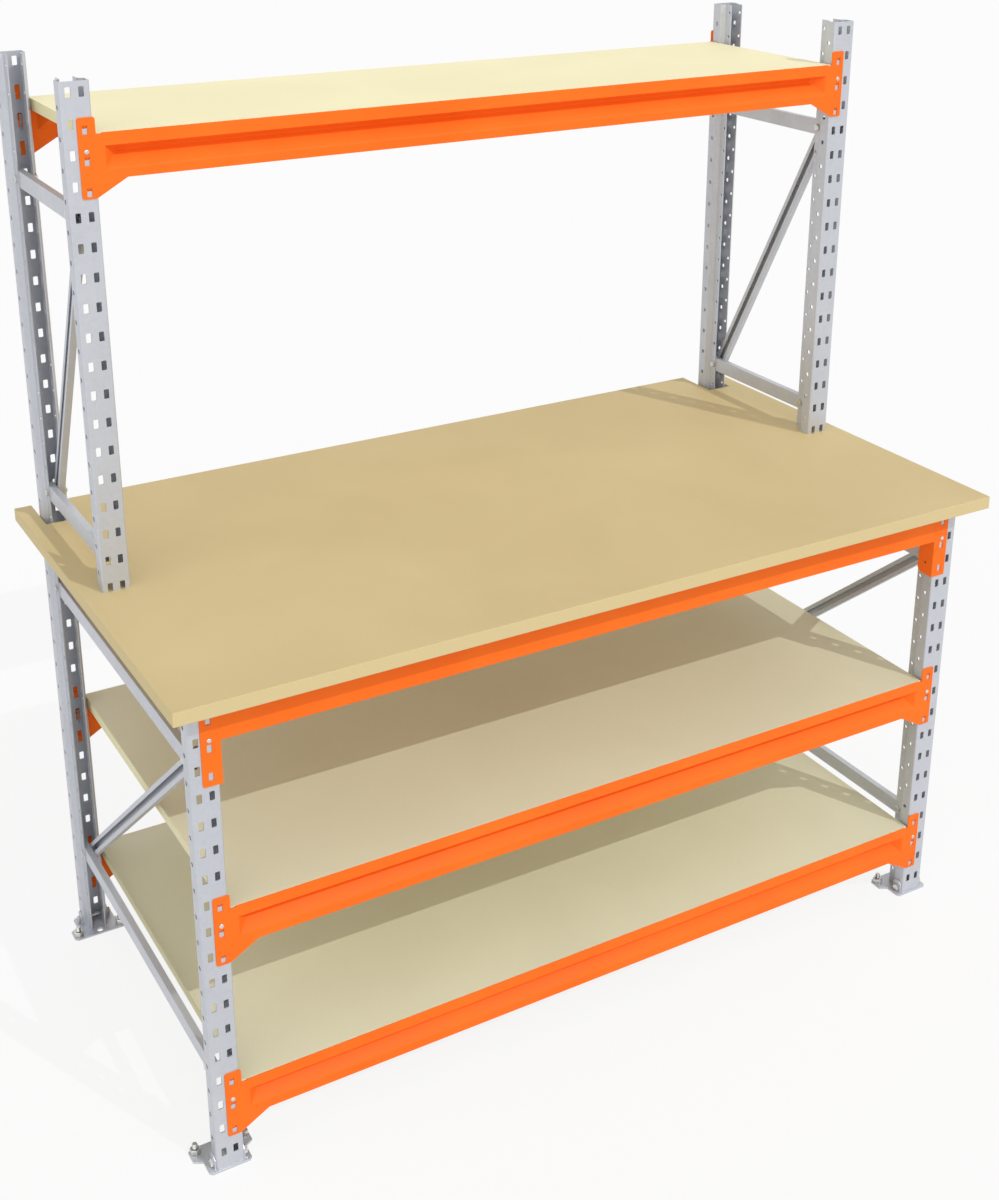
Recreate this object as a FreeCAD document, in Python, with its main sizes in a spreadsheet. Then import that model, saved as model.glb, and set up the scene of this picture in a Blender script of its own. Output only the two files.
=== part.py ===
import FreeCAD, Part
import math
import os
import re

import Sketcher

# A packing table of slotted steel posts: two lower frames carry a worktop and two shelves, and two
# shallower upper frames on the worktop carry a third shelf. X runs along the table, Y from front to
# back, Z up, and the origin is on the floor under the middle of the worktop.

SIZES = {
    # Frame
    "post_span": 1560,
    "frame_depth": 800,
    "upper_depth": 400,
    "lower_height": 900,
    "post_height": 1800,
    # Posts
    "post_width": 50,
    "post_depth": 52,
    "post_wall": 2,
    "shoulder_depth": 26,
    "shoulder_slope": 5,
    "throat_width": 30,
    "slot_pitch": 50,
    "first_slot": 33,
    "slot_end_gap": 12,
    "slot_spread": 21.7,
    "slot_width": 9,
    "slot_height": 16.5,
    # Feet
    "foot_plate": 4,
    "foot_width": 78,
    "foot_front_lip": 4,
    "foot_corner": 5,
    "flare_depth": 29,
    "lobe_span": 109,
    "lobe_near_depth": 38,
    "lobe_far_depth": 69,
    "lobe_corner": 6,
    "ear_wall": 3,
    "ear_height": 25,
    "ear_width": 22,
    "ear_corner": 7,
    "spare_hole": 13,
    "spare_hole_gap": 7,
    "anchor_spread": 88,
    "anchor_depth": 56.5,
    # Fasteners
    "anchor_diameter": 10,
    "anchor_nut": 17,
    "anchor_nut_height": 9,
    "anchor_end": 10,
    "anchor_lift": 0.4,
    "washer_diameter": 20,
    "washer_wall": 1.6,
    "foot_bolt_diameter": 8,
    "foot_bolt_depth": 14,
    "foot_bolt_head": 13,
    "foot_bolt_head_height": 5.3,
    "foot_nut_height": 6.5,
    "brace_bolt_diameter": 6,
    "brace_bolt_depth": 44,
    "brace_bolt_head": 13,
    "brace_bolt_head_height": 5,
    "brace_nut_height": 5,
    "bolt_end": 1.5,
    "hole_clearance": 1,
    "thread_clearance": 0.6,
    # Braces
    "brace_wall": 1.5,
    "brace_end": 14,
    "brace_gap": 0.4,
    "brace_lip": 8.5,
    "strut_height": 30,
    "diagonal_height": 28,
    # Shelf beams
    "plate_wall": 2,
    "beam_drop": 16,
    "beam_height": 75,
    "plate_rise": 9.5,
    "plate_tail": 21,
    "plate_inner_reach": 28,
    "plate_outer_reach": 1.5,
    "relief_reach": 37.5,
    "relief_depth": 2,
    "slant_inner_reach": 75,
    "slant_outer_reach": 22,
    "lip_height": 22,
    "ledge_depth": 8,
    "recess_depth": 25,
    "recess_foot": 16,
    "recess_valley": 33,
    "valley_width": 2,
    "recess_end_reach": 41,
    "beam_flange": 15,
    # Hooks and lock pins
    "window_width": 8.5,
    "window_height": 15,
    "window_drop": 2.6,
    "hook_width": 8,
    "hook_gap": 0.3,
    "hook_length": 17,
    "pin_head": 8.7,
    "pin_head_height": 2,
    "pin_diameter": 3.6,
    "pin_rise": 4.7,
    "tail_width": 4,
    "tail_wall": 1.5,
    "tail_length": 28,
    "tail_gap": 0.7,
    # Worktop and what carries it
    "worktop_length": 1680,
    "worktop_depth": 900,
    "worktop_thickness": 25,
    "notch_inner_gap": 6,
    "notch_outer_gap": 1.5,
    "notch_front_gap": 3.5,
    "carrier_height": 71,
    "carrier_depth": 40,
    "carrier_wall": 2,
    "connector_rise": 10,
    "connector_drop": 132,
    "connector_outer_reach": 3.4,
    "connector_side_depth": 40,
    "connector_corner": 8,
    "connector_window_drop": 7.5,
    "connector_hole": 5,
    "connector_hole_depth": 18,
    "connector_hole_drop": 106.5,
    # Shelf boards
    "board_thickness": 20,
    "board_edge_gap": 1,
    "board_end_gap": 3,
    # One overrun for all cuts
    "overrun": 1,
}

# The middle shelf hangs at this share of the lower posts' slots.
MIDDLE_SHELF_SHARE = 0.6
# Slots counted from the nearest end of a post.
LOWEST_SHELF_SLOT = 3
LOWER_STRUT_SLOT = 3
UPPER_STRUT_DROP = 4
WORKTOP_STRUT_DROP = 2
# Flats round a small hole, shank or washer, and round a lock pin's square shank.
FLAT_COUNT = 6
SHANK_FLAT_COUNT = 4

doc = FreeCAD.newDocument("packing_table")
sheet = doc.addObject("Spreadsheet::Sheet", "sizes")
for row, (alias, size) in enumerate(SIZES.items(), start=1):
    sheet.set(f"A{row}", alias)
    sheet.set(f"B{row}", str(size))
    sheet.setAlias(f"B{row}", alias)
doc.recompute()

SIZE_NAME = re.compile(r"\b[a-z][a-z_]*\b(?!\()")


def bound(formula):
    """Give a formula in size names as an expression on the sheet."""
    return SIZE_NAME.sub(r"sizes.\g<0>", formula)


def at(formula):
    """Give a formula's value in millimetres."""
    return float(sheet.evalExpression(bound(formula)))


def new_body(label):
    """Start a piece."""
    body = doc.addObject("PartDesign::Body", label)
    body.Label = label
    return body


def plane_of(body, role):
    """Find one of a piece's own reference planes or axes."""
    return next(feature for feature in body.Origin.OriginFeatures if feature.Role == role)


def fix_point(sketch, geometry, end, across, up):
    """Tie a point of a sketch to two formulas."""
    for kind, axis, formula in (("DistanceX", -2, across), ("DistanceY", -1, up)):
        if formula == "0":
            sketch.addConstraint(Sketcher.Constraint("PointOnObject", geometry, end, axis))
            continue
        tie = Sketcher.Constraint(kind, -1, 1, geometry, end, at(formula))
        index = sketch.addConstraint(tie)
        sketch.setExpression(f"Constraints[{index}]", bound(formula))


def draw_outline(sketch, points):
    """Draw a closed outline through points given as formulas."""
    first = sketch.GeometryCount
    spots = [FreeCAD.Vector(at(across), at(up), 0) for across, up in points]
    count = len(spots)
    for index in range(count):
        sketch.addGeometry(Part.LineSegment(spots[index], spots[(index + 1) % count]))
    for index in range(count):
        following = first + (index + 1) % count
        sketch.addConstraint(Sketcher.Constraint("Coincident", first + index, 2, following, 1))
    for index, (across, up) in enumerate(points):
        fix_point(sketch, first + index, 1, across, up)


def draw_circle(sketch, across, up, diameter):
    """Draw a circle whose centre and diameter are formulas."""
    centre = FreeCAD.Vector(at(across), at(up), 0)
    circle = Part.Circle(centre, FreeCAD.Vector(0, 0, 1), at(diameter) / 2)
    geometry = sketch.addGeometry(circle)
    fix_point(sketch, geometry, 3, across, up)
    tie = Sketcher.Constraint("Diameter", geometry, at(diameter))
    index = sketch.addConstraint(tie)
    sketch.setExpression(f"Constraints[{index}]", bound(diameter))


def flats(across, up, width, count=FLAT_COUNT):
    """Give the corners of a small round made with flats, so that many of them stay light."""
    corners = []
    for index in range(count):
        turn = math.pi * (2 * index + 1) / count
        reach = 2 * math.cos(math.pi / count)
        across_share = math.cos(turn) / reach
        up_share = math.sin(turn) / reach
        corners.append((f"{across} + ({width})*({across_share})", f"{up} + ({width})*({up_share})"))
    return corners


def new_sketch(body, role, outlines=(), circles=(), rounds=(), offset="0"):
    """Draw outlines, circles and small rounds on one of a piece's planes, moved along its normal."""
    sketch = body.newObject("Sketcher::SketchObject", "outline")
    sketch.AttachmentSupport = [(plane_of(body, role), "")]
    sketch.MapMode = "FlatFace"
    sketch.setExpression("AttachmentOffset.Base.z", bound(offset))
    for points in outlines:
        draw_outline(sketch, points)
    for circle in circles:
        draw_circle(sketch, *circle)
    for small in rounds:
        draw_outline(sketch, flats(*small))
    return sketch


def add(body, sketch, length, midplane=False, reverse=False):
    """Raise a sketch into solid material."""
    pad = body.newObject("PartDesign::Pad", "pad")
    pad.Profile = sketch
    pad.setExpression("Length", bound(length))
    pad.Midplane = midplane
    pad.Reversed = reverse
    doc.recompute()
    return pad


def cut(body, sketch, length, midplane=False):
    """Cut a sketch out of a piece, and stop if nothing was cut."""
    before = body.Shape.Volume
    pocket = body.newObject("PartDesign::Pocket", "pocket")
    pocket.Profile = sketch
    pocket.setExpression("Length", bound(length))
    pocket.Midplane = midplane
    doc.recompute()
    if body.Shape.Volume >= before:
        raise RuntimeError(f"{body.Label}: a cut removed nothing")
    return pocket


def wedge(body, kind, near, far, bases, tops):
    """Add or cut a trough: a rectangle at one depth drawn in to a smaller one at another."""
    trough = body.newObject(f"PartDesign::{kind}Wedge", "trough")
    half, bottom, top = bases
    far_half, far_bottom, far_top = tops
    formulas = {
        "Xmin": f"-({half})",
        "Xmax": half,
        "Ymin": near,
        "Ymax": far,
        "Zmin": bottom,
        "Zmax": top,
        "X2min": f"-({far_half})",
        "X2max": far_half,
        "Z2min": far_bottom,
        "Z2max": far_top,
    }
    for name, formula in formulas.items():
        setattr(trough, name, at(formula))
    for name, formula in formulas.items():
        trough.setExpression(name, bound(formula))
    doc.recompute()
    return trough


def place(body, across, deep, up, turned=False):
    """Put a piece in the table, turned to face the back where asked."""
    if turned:
        body.Placement.Rotation = FreeCAD.Rotation(FreeCAD.Vector(0, 0, 1), 180)
    for axis, formula in (("x", across), ("y", deep), ("z", up)):
        body.setExpression(f"Placement.Base.{axis}", bound(formula))
    doc.recompute()


def mirrored(points):
    """Close an outline given for the right half with its mirror image."""
    left = [(f"-({across})", up) for across, up in reversed(points)]
    return points + left


def hexagon(size):
    """Give the corners of a hexagon from its width across flats."""
    side = f"{size}/2"
    low = f"{size}*sqrt(3)/6"
    tip = f"{size}*sqrt(3)/3"
    right = [(side, f"-{low}"), (side, low)]
    return [("0", f"-{tip}")] + right + [("0", tip)] + [(f"-{side}", low), (f"-{side}", f"-{low}")]


# Levels: slots are counted from the lowest one of the lower posts.
def slot_count(height):
    """Count the slots of a post that starts on the floor plates."""
    return int(at(f"floor(({height} - first_slot - slot_end_gap)/slot_pitch)")) + 1


def level(slot):
    """Give the height of a slot above the floor."""
    return f"foot_plate + first_slot + slot_pitch*{slot}"


LOWER_SLOTS = slot_count("lower_height")
REAR_SLOTS = slot_count("post_height")
UPPER_FIRST = int(at("ceil((lower_height + worktop_thickness - first_slot - slot_height/2)/slot_pitch)"))
WORKTOP_SLOT = LOWER_SLOTS - 1
TOP_SHELF_SLOT = REAR_SLOTS - 2
MIDDLE_SHELF_SLOT = int(WORKTOP_SLOT * MIDDLE_SHELF_SHARE)
LOWER_BRACE_SLOTS = (WORKTOP_SLOT - WORKTOP_STRUT_DROP, LOWER_STRUT_SLOT)
UPPER_BRACE_SLOTS = (REAR_SLOTS - 1 - UPPER_STRUT_DROP, UPPER_FIRST + 1)

WORKTOP_UNDERSIDE = "foot_plate + lower_height"
WORKTOP_TOP = "foot_plate + lower_height + worktop_thickness"
FRONT = "-frame_depth/2"
REAR = "frame_depth/2"
UPPER_FRONT = "frame_depth/2 - upper_depth"
SIDES = {"left": "-post_span/2", "right": "post_span/2"}
SLOT_COLUMN = "slot_spread/2"


# Posts
def make_post(label, across, deep, bottom, height, first, count, brace_slots, on_floor, turned):
    """Make a post: a stepped channel with two columns of slots, and holes for its own bolts."""
    body = new_body(label)
    edge = "post_width/2"
    throat = "throat_width/2"
    profile = [
        (edge, "0"),
        (edge, "shoulder_depth"),
        (throat, "shoulder_depth + shoulder_slope"),
        (throat, "post_depth"),
        (f"{throat} - post_wall", "post_depth"),
        (f"{throat} - post_wall", "shoulder_depth + shoulder_slope"),
        (f"{edge} - post_wall", "shoulder_depth"),
        (f"{edge} - post_wall", "post_wall"),
    ]
    add(body, new_sketch(body, "XY_Plane", [mirrored(profile)]), height)
    slots = []
    for side in ("-", ""):
        near = f"{side}({SLOT_COLUMN} - slot_width/2)"
        far = f"{side}({SLOT_COLUMN} + slot_width/2)"
        low = f"{level(first)} - slot_height/2 - ({bottom})"
        high = f"{level(first)} + slot_height/2 - ({bottom})"
        slots.append([(near, low), (far, low), (far, high), (near, high)])
    pocket = cut(body, new_sketch(body, "XZ_Plane", slots), "post_wall + overrun")
    rows = body.newObject("PartDesign::LinearPattern", "slots")
    rows.Originals = [pocket]
    rows.Direction = (plane_of(body, "Z_Axis"), [""])
    rows.setExpression("Length", bound(f"slot_pitch*{count - 1}"))
    rows.Occurrences = count
    body.Tip = rows
    doc.recompute()
    hole = "brace_bolt_diameter + hole_clearance"
    holes = [("brace_bolt_depth", f"{level(slot)} - ({bottom})", hole) for slot in brace_slots]
    if on_floor:
        foot_hole = "foot_bolt_diameter + hole_clearance"
        holes.append(("foot_bolt_depth", "first_slot - slot_pitch/2", foot_hole))
    cut(body, new_sketch(body, "YZ_Plane", rounds=holes), "post_width + overrun", midplane=True)
    place(body, across, deep, bottom, turned)
    return body


# Feet
def make_foot(label, across, deep, turned):
    """Make a foot: a plate that flares into two lobes for anchor bolts, and two ears beside the post."""
    body = new_body(label)
    edge = "foot_width/2"
    lobe = "lobe_span/2"
    outline = [
        (f"{edge} - foot_corner", "-foot_front_lip"),
        (edge, "foot_corner - foot_front_lip"),
        (edge, "flare_depth"),
        (lobe, "lobe_near_depth"),
        (lobe, "lobe_far_depth - lobe_corner"),
        (f"{lobe} - lobe_corner", "lobe_far_depth"),
    ]
    add(body, new_sketch(body, "XY_Plane", [mirrored(outline)]), "foot_plate")
    ear_near = "foot_bolt_depth - ear_width/2"
    ear_far = "foot_bolt_depth + ear_width/2"
    ear_top = "foot_plate + ear_height"
    ear = [
        (ear_near, "0"),
        (ear_far, "0"),
        (ear_far, f"{ear_top} - ear_corner"),
        (f"{ear_far} - ear_corner", ear_top),
        (f"{ear_near} + ear_corner", ear_top),
        (ear_near, f"{ear_top} - ear_corner"),
    ]
    add(body, new_sketch(body, "YZ_Plane", [ear], offset="post_width/2"), "ear_wall")
    add(body, new_sketch(body, "YZ_Plane", [ear], offset="-post_width/2"), "ear_wall", reverse=True)
    bolt_hole = ("foot_bolt_depth", "foot_plate + first_slot - slot_pitch/2",
                 "foot_bolt_diameter + hole_clearance")
    span = "post_width + 2*ear_wall + overrun"
    cut(body, new_sketch(body, "YZ_Plane", rounds=[bolt_hole]), span, midplane=True)
    anchor_hole = "anchor_diameter + hole_clearance"
    anchors = [(f"{side}anchor_spread/2", "anchor_depth", anchor_hole) for side in ("-", "")]
    spare = ("0", "post_depth + spare_hole_gap", "spare_hole")
    holes = new_sketch(body, "XY_Plane", circles=[spare], rounds=anchors)
    cut(body, holes, "2*foot_plate + overrun", midplane=True)
    place(body, across, deep, "0", turned)
    return body


# Braces
BRACE_OUTER = "(throat_width/2 - post_wall)"


def channel(height, side):
    """Give a brace's section: a web against one wall of the post, and lips where it opens to the other."""
    outer = f"{side}*{BRACE_OUTER}"
    inner = f"{side}*({BRACE_OUTER} - brace_wall)"
    open_edge = f"{side}*brace_gap/2"
    lip_back = f"{side}*(brace_gap/2 + brace_wall)"
    top = f"{height}/2"
    skin = f"{height}/2 - brace_wall"
    lip = f"{height}/2 - brace_lip"
    return [
        (outer, f"-{top}"),
        (open_edge, f"-{top}"),
        (open_edge, f"-({lip})"),
        (lip_back, f"-({lip})"),
        (lip_back, f"-({skin})"),
        (inner, f"-({skin})"),
        (inner, skin),
        (lip_back, skin),
        (lip_back, lip),
        (open_edge, lip),
        (open_edge, top),
        (outer, top),
    ]


def make_brace(label, height, side, span):
    """Make a brace with a bolt hole at each end; it starts at its first bolt and runs back."""
    body = new_body(label)
    sketch = new_sketch(body, "XZ_Plane", [channel(height, side)], offset="brace_end")
    add(body, sketch, f"{span} + 2*brace_end", reverse=True)
    hole = "brace_bolt_diameter + hole_clearance"
    ends = [("0", "0", hole), (span, "0", hole)]
    cut(body, new_sketch(body, "YZ_Plane", rounds=ends), "throat_width", midplane=True)
    return body


def make_frame_braces(name, across, front, slots):
    """Make one end frame's two struts and the diagonal that falls from front to back."""
    top, bottom = slots
    near = f"{front} + brace_bolt_depth"
    run = f"({REAR} - ({front}) - 2*brace_bolt_depth)"
    fall = f"(slot_pitch*{top - bottom})"
    pieces = []
    for place_name, slot in (("top", top), ("bottom", bottom)):
        strut = make_brace(f"{name}_{place_name}_strut", "strut_height", "-1", run)
        place(strut, across, near, level(slot))
        pieces.append(strut)
    length = f"sqrt({run}*{run} + {fall}*{fall})"
    diagonal = make_brace(f"{name}_diagonal", "diagonal_height", "1", length)
    diagonal.Placement.Rotation = FreeCAD.Rotation(FreeCAD.Vector(-1, 0, 0), 45)
    diagonal.setExpression("Placement.Rotation.Angle", bound(f"atan({fall}/{run})"))
    place(diagonal, across, near, level(top))
    pieces.append(diagonal)
    return pieces


# Hooks, shared by the shelf beams and the worktop's connectors
def hook_outline(drop, window_drop):
    """Give a hook's side: it slopes in through a slot, seats on its edge and hangs behind the web."""
    behind = "post_wall + hook_gap"
    seat = f"-(slot_height/2 + {drop})"
    tip = f"-(hook_length + {drop})"
    root = f"-({window_drop} + {drop})"
    return [
        ("-plate_wall", root),
        ("post_wall", seat),
        (behind, tip),
        (f"{behind} + plate_wall", tip),
        (f"{behind} + plate_wall", f"{seat} + plate_wall"),
        ("-plate_wall", f"{root} + plate_wall"),
    ]


def window_outline(across, drop, window_drop):
    """Give the window that a hook was bent in from."""
    top = f"-({window_drop} + {drop})"
    bottom = f"-({window_drop} + {drop} + window_height)"
    near = f"{across} - window_width/2"
    far = f"{across} + window_width/2"
    return [(near, bottom), (far, bottom), (far, top), (near, top)]


HOOK_DROPS = ("0*slot_pitch", "1*slot_pitch", "2*slot_pitch")


def add_hooks(body, columns, window_drop, pin_rise):
    """Punch the windows and the lock pin's hole in a plate, and add its hooks."""
    windows = [window_outline(column, drop, window_drop) for column in columns for drop in HOOK_DROPS]
    pin_hole = ("pin_diameter + thread_clearance", SHANK_FLAT_COUNT)
    holes = [(column, f"{pin_rise} - slot_pitch", *pin_hole) for column in columns]
    sketch = new_sketch(body, "XZ_Plane", windows, rounds=holes, offset="plate_wall + overrun")
    cut(body, sketch, "plate_wall + 2*overrun")
    for column in columns:
        sides = [hook_outline(drop, window_drop) for drop in HOOK_DROPS]
        start = f"{column} - hook_width/2"
        add(body, new_sketch(body, "YZ_Plane", sides, offset=start), "hook_width")


# Shelf beams
BEAM_TOP = "-beam_drop"
BEAM_BOTTOM = "-(beam_drop + beam_height)"
BEAM_HALF = "post_span/2"
LEDGE = "-(beam_drop + lip_height - plate_wall)"


def make_beam(label, deep, up, turned):
    """Make a pressed shelf beam: a face with a hipped recess, a board ledge and hooked end plates."""
    body = new_body(label)
    plate_bottom = "-(2*slot_pitch + plate_tail)"
    face = [
        (f"{BEAM_HALF} - slant_inner_reach", BEAM_BOTTOM),
        (f"{BEAM_HALF} - slant_outer_reach", plate_bottom),
        (f"{BEAM_HALF} + plate_outer_reach", plate_bottom),
        (f"{BEAM_HALF} + plate_outer_reach", "plate_rise"),
        (f"{BEAM_HALF} - plate_inner_reach", "plate_rise"),
        (f"{BEAM_HALF} - plate_inner_reach", f"{BEAM_TOP} - relief_depth"),
        (f"{BEAM_HALF} - relief_reach", f"{BEAM_TOP} - relief_depth"),
        (f"{BEAM_HALF} - relief_reach", BEAM_TOP),
    ]
    add(body, new_sketch(body, "XZ_Plane", [mirrored(face)]), "plate_wall")
    recess_half = f"({BEAM_HALF} - recess_end_reach)"
    recess_top = "-(beam_drop + lip_height)"
    recess_bottom = f"({BEAM_BOTTOM} + recess_foot)"
    valley_top = "-(beam_drop + recess_valley - valley_width/2)"
    valley_bottom = "-(beam_drop + recess_valley + valley_width/2)"
    ledge_share = "ledge_depth/recess_depth"
    ledge_bottom = f"({recess_bottom} + ({valley_bottom} - ({recess_bottom}))*{ledge_share})"
    mouth = (recess_half, recess_bottom, recess_top)
    step = (f"({recess_half} - ledge_depth)", ledge_bottom, recess_top)
    valley = (f"({recess_half} - recess_depth)", valley_bottom, valley_top)

    def thicker(section):
        half, bottom, top = section
        return (f"({half} + plate_wall)", f"({bottom} - plate_wall)", f"({top} + plate_wall)")

    front = "-plate_wall"
    step_depth = "ledge_depth - plate_wall"
    valley_depth = "recess_depth - plate_wall"
    wedge(body, "Additive", front, step_depth, thicker(mouth), thicker(step))
    wedge(body, "Additive", step_depth, "recess_depth", thicker(step), thicker(valley))
    wedge(body, "Subtractive", front, step_depth, mouth, step)
    wedge(body, "Subtractive", step_depth, valley_depth, step, valley)
    flange = [
        ("-plate_wall", BEAM_BOTTOM),
        ("beam_flange - plate_wall", BEAM_BOTTOM),
        ("beam_flange - plate_wall", f"{BEAM_BOTTOM} + plate_wall"),
        ("-plate_wall", f"{BEAM_BOTTOM} + plate_wall"),
    ]
    flange_length = f"2*({BEAM_HALF} - slant_inner_reach)"
    add(body, new_sketch(body, "YZ_Plane", [flange]), flange_length, midplane=True)
    column = f"({BEAM_HALF} - {SLOT_COLUMN})"
    add_hooks(body, (f"-{column}", column), "window_drop", "pin_rise")
    place(body, "0", deep, up, turned)
    return body


# Shelf boards
def make_board(label, front, slot):
    """Make a shelf board, level with the beams' top edges and resting on their ledges."""
    body = new_body(label)
    half = "post_span/2 - post_width/2 - board_end_gap"
    near = f"{front} + board_edge_gap"
    far = f"{REAR} - board_edge_gap"
    add(body, new_sketch(body, "XY_Plane", [mirrored([(half, near), (half, far)])]), "board_thickness")
    place(body, "0", "0", f"{level(slot)} + ({LEDGE})")
    return body


def make_worktop():
    """Make the worktop, notched at the back round the rear posts."""
    body = new_body("worktop")
    end = "worktop_length/2"
    back = "worktop_depth/2"
    notch_outer = "post_span/2 + post_width/2 + notch_outer_gap"
    notch_inner = "post_span/2 - post_width/2 - notch_inner_gap"
    notch_front = f"{REAR} - post_depth - notch_front_gap"
    outline = [
        (end, f"-{back}"),
        (end, back),
        (notch_outer, back),
        (notch_outer, notch_front),
        (notch_inner, notch_front),
        (notch_inner, back),
    ]
    add(body, new_sketch(body, "XY_Plane", [mirrored(outline)]), "worktop_thickness")
    place(body, "0", "0", WORKTOP_UNDERSIDE)
    return body


# What carries the worktop
def make_carrier(label, deep, turned):
    """Make a box beam under the worktop, between two connectors."""
    body = new_body(label)

    def ring(inset):
        near = f"{inset} - plate_wall"
        far = f"carrier_depth - plate_wall - {inset}"
        low = f"{inset} - carrier_height"
        return [(near, low), (far, low), (far, f"-{inset}"), (near, f"-{inset}")]

    outlines = [ring("0*carrier_wall"), ring("carrier_wall")]
    length = "2*(post_span/2 - plate_inner_reach - plate_wall)"
    add(body, new_sketch(body, "YZ_Plane", outlines), length, midplane=True)
    place(body, "0", deep, WORKTOP_UNDERSIDE, turned)
    return body


def make_connector(label, across, deep, inward, turned):
    """Make an angle that closes one end of a worktop beam and hooks into a post."""
    body = new_body(label)
    outer = f"-{inward}*connector_outer_reach"
    corner = f"{inward}*(plate_inner_reach + plate_wall)"
    inner = f"{inward}*plate_inner_reach"
    angle = [
        (outer, "-plate_wall"),
        (corner, "-plate_wall"),
        (corner, "connector_side_depth - plate_wall"),
        (inner, "connector_side_depth - plate_wall"),
        (inner, "0"),
        (outer, "0"),
    ]
    sketch = new_sketch(body, "XY_Plane", [angle], offset="-connector_drop")
    add(body, sketch, "connector_rise + connector_drop")
    side_edge = "connector_side_depth - plate_wall"
    chamfer = [
        (side_edge, "-connector_drop"),
        (side_edge, "connector_corner - connector_drop"),
        (f"{side_edge} - connector_corner", "-connector_drop"),
    ]
    hole = ("connector_hole_depth", "-connector_hole_drop", "connector_hole")
    width = "2*(plate_inner_reach + plate_wall + overrun)"
    cut(body, new_sketch(body, "YZ_Plane", [chamfer], rounds=[hole]), width, midplane=True)
    add_hooks(body, (f"({inward}*{SLOT_COLUMN})",), "connector_window_drop", "0*pin_rise")
    place(body, across, deep, level(WORKTOP_SLOT), turned)
    return body


# Fasteners: one of each is made, then set in every place it is used
def make_bolt(label, head, head_height, diameter, grip, tail):
    """Make a bolt along X, its head under the left of its grip and its end past the right."""
    body = new_body(label)
    seat = f"-{grip}/2"
    add(body, new_sketch(body, "YZ_Plane", [hexagon(head)], offset=seat), head_height, reverse=True)
    shank = new_sketch(body, "YZ_Plane", rounds=[("0", "0", diameter)], offset=seat)
    add(body, shank, f"{grip} + {tail}")
    return body


def make_nut(label, head, height, diameter, grip):
    """Make a nut along X, seated on the right of its grip."""
    body = new_body(label)
    bore = [("0", "0", f"{diameter} + thread_clearance")]
    sketch = new_sketch(body, "YZ_Plane", [hexagon(head)], rounds=bore, offset=f"{grip}/2")
    add(body, sketch, height)
    return body


def make_anchor():
    """Make an anchor bolt that stands in a foot's lobe, with its nut on a washer."""
    body = new_body("anchor_bolt")
    seat = "foot_plate + washer_wall"
    nut = new_sketch(body, "XY_Plane", [hexagon("anchor_nut")], offset=seat)
    add(body, nut, "anchor_nut_height")
    shank = new_sketch(body, "XY_Plane", rounds=[("0", "0", "anchor_diameter")], offset="anchor_lift")
    add(body, shank, f"{seat} + anchor_nut_height + anchor_end - anchor_lift")
    return body


def make_washer():
    """Make the washer under an anchor bolt's nut."""
    body = new_body("anchor_washer")
    rings = [
        ("0", "0", "washer_diameter"),
        ("0", "0", "anchor_diameter + thread_clearance"),
    ]
    add(body, new_sketch(body, "XY_Plane", rounds=rings, offset="foot_plate"), "washer_wall")
    return body


def make_pin():
    """Make a lock pin: a round head on the plate, a shank through the slot and a tail behind the web."""
    body = new_body("lock_pin")
    front = "plate_wall"
    disc = ("0", "0", "pin_head")
    head = new_sketch(body, "XZ_Plane", rounds=[disc], offset=front)
    add(body, head, "pin_head_height")
    tail_back = "(post_wall + hook_gap + plate_wall + tail_gap + tail_wall)"
    square = ("0", "0", "pin_diameter", SHANK_FLAT_COUNT)
    shank = new_sketch(body, "XZ_Plane", rounds=[square], offset=front)
    add(body, shank, f"{front} + {tail_back}", reverse=True)
    top = "pin_diameter/2"
    low = "pin_diameter/2 - tail_length"
    tail = [("tail_width/2", low), ("tail_width/2", top)]
    sketch = new_sketch(body, "XZ_Plane", [mirrored(tail)], offset=f"-{tail_back}")
    add(body, sketch, "tail_wall")
    return body


def make_group(label, master, places):
    """Set copies of a fastener in their places, as separate solids under one name."""
    copies = []
    for across, deep, up, turned in places:
        spin = FreeCAD.Rotation(FreeCAD.Vector(0, 0, 1), 180 if turned else 0)
        spot = FreeCAD.Vector(at(across), at(deep), at(up))
        copy = master.Shape.copy()
        copy.Placement = FreeCAD.Placement(spot, spin)
        copies.append(copy)
    group = doc.addObject("Part::Feature", label)
    group.Label = label
    group.Shape = Part.makeCompound(copies)
    return group


# The assembly
pieces = []
CORNERS = [(end, side) for end in ("front", "rear") for side in SIDES]
WEB = {"front": FRONT, "rear": REAR}

for side, across in SIDES.items():
    pieces.append(make_post(f"post_front_{side}", across, FRONT, "foot_plate", "lower_height",
                            0, LOWER_SLOTS, LOWER_BRACE_SLOTS, True, False))
    pieces.append(make_post(f"post_rear_{side}", across, REAR, "foot_plate", "post_height",
                            0, REAR_SLOTS, LOWER_BRACE_SLOTS + UPPER_BRACE_SLOTS, True, True))
    upper_height = "post_height - lower_height - worktop_thickness"
    pieces.append(make_post(f"post_upper_{side}", across, UPPER_FRONT, WORKTOP_TOP, upper_height,
                            UPPER_FIRST, REAR_SLOTS - UPPER_FIRST, UPPER_BRACE_SLOTS, False, False))
    pieces += make_frame_braces(f"lower_{side}", across, FRONT, LOWER_BRACE_SLOTS)
    pieces += make_frame_braces(f"upper_{side}", across, UPPER_FRONT, UPPER_BRACE_SLOTS)

for end, side in CORNERS:
    turned = end == "rear"
    pieces.append(make_foot(f"foot_{end}_{side}", SIDES[side], WEB[end], turned))
    inward = 1 if (side == "left") != turned else -1
    connector = f"worktop_connector_{end}_{side}"
    pieces.append(make_connector(connector, SIDES[side], WEB[end], inward, turned))

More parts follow.
